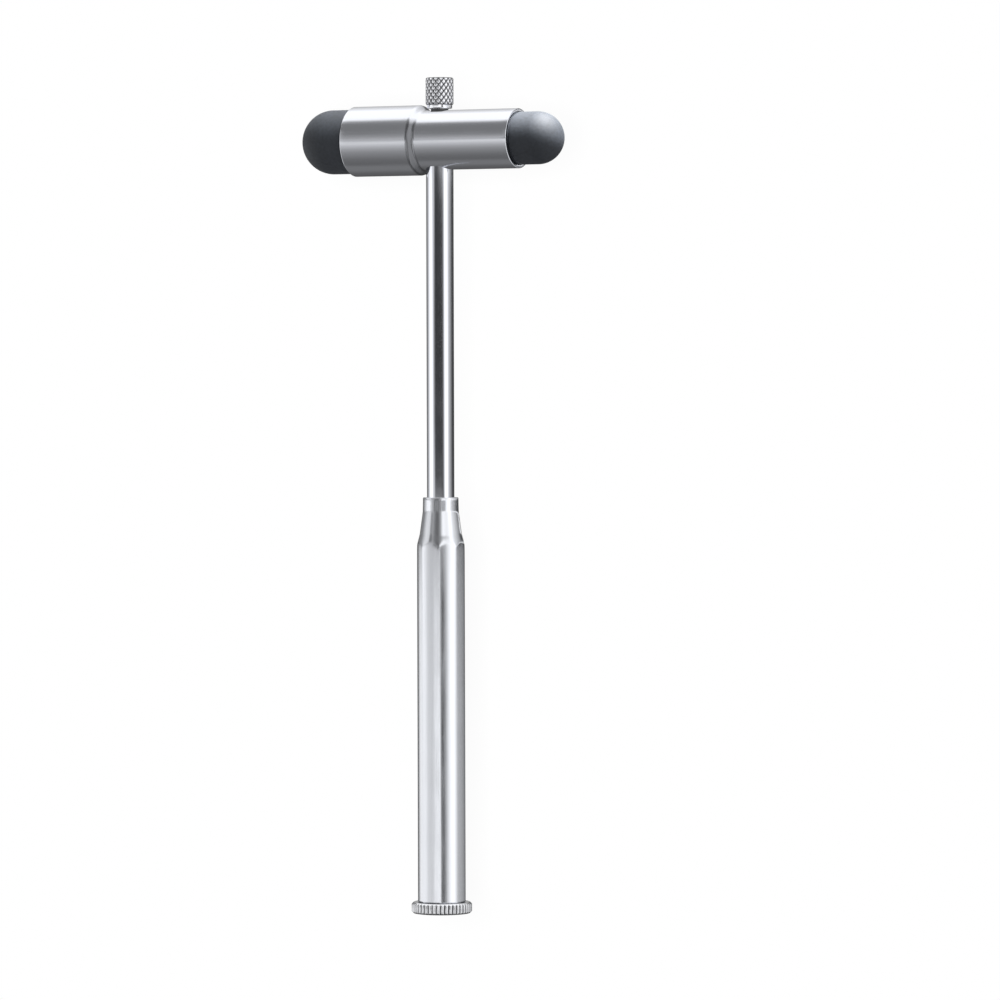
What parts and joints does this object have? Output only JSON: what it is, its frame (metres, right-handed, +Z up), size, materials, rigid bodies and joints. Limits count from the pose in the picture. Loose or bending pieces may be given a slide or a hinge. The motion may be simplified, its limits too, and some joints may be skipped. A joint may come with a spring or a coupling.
{
  "type": "reflex hammer",
  "caption": "T-headed neurological reflex hammer with two rubber bumpers, a thin shaft, an octagonal grip, a screw-out needle and a screw-out brush.",
  "frame": {"origin": "centre of the end disc's outer face, on the hammer's long axis", "axes": "+X along the hammer's axis from the end disc to the head, +Y along the head towards the large bumper, +Z up from the surface that the hammer lies on"},
  "size_m": [0.1796, 0.062, 0.015],
  "materials": {
    "satin_steel": "satin",
    "polished_steel": "polished",
    "grey_rubber": "matte",
    "black_bristle": "satin",
    "set_resin": "gloss"
  },
  "bodies": {
    "hammer": {"head_barrel": "satin_steel", "large_bumper": "grey_rubber", "small_bumper": "grey_rubber", "shaft_tube": "polished_steel", "grip_body": "satin_steel", "brush_socket": "satin_steel"},
    "needle": {"needle_pin": "polished_steel"},
    "needle_head": {"needle_knob": "polished_steel"},
    "brush": {"brush_ferrule": "polished_steel", "bristle_root": "set_resin", "brush_bristles": "black_bristle"},
    "brush_cap": {"brush_disc": "polished_steel"}
  },
  "joints": [
    {"name": "needle_pull", "type": "slide", "parent": "hammer", "child": "needle", "axis": [1, 0, 0], "range_m": [0, 0.036]},
    {"name": "needle_unscrew", "type": "hinge", "parent": "needle", "child": "needle_head", "pos_m": [0.17225, 0, 0], "axis": [1, 0, 0], "range_deg": [0, 1440]},
    {"name": "brush_pull", "type": "slide", "parent": "hammer", "child": "brush", "axis": [-1, 0, 0], "range_m": [0, 0.047], "deforming": ["brush_bristles"]},
    {"name": "brush_unscrew", "type": "hinge", "parent": "brush", "child": "brush_cap", "pos_m": [0, 0, 0], "axis": [-1, 0, 0], "range_deg": [0, 1800]}
  ]
}
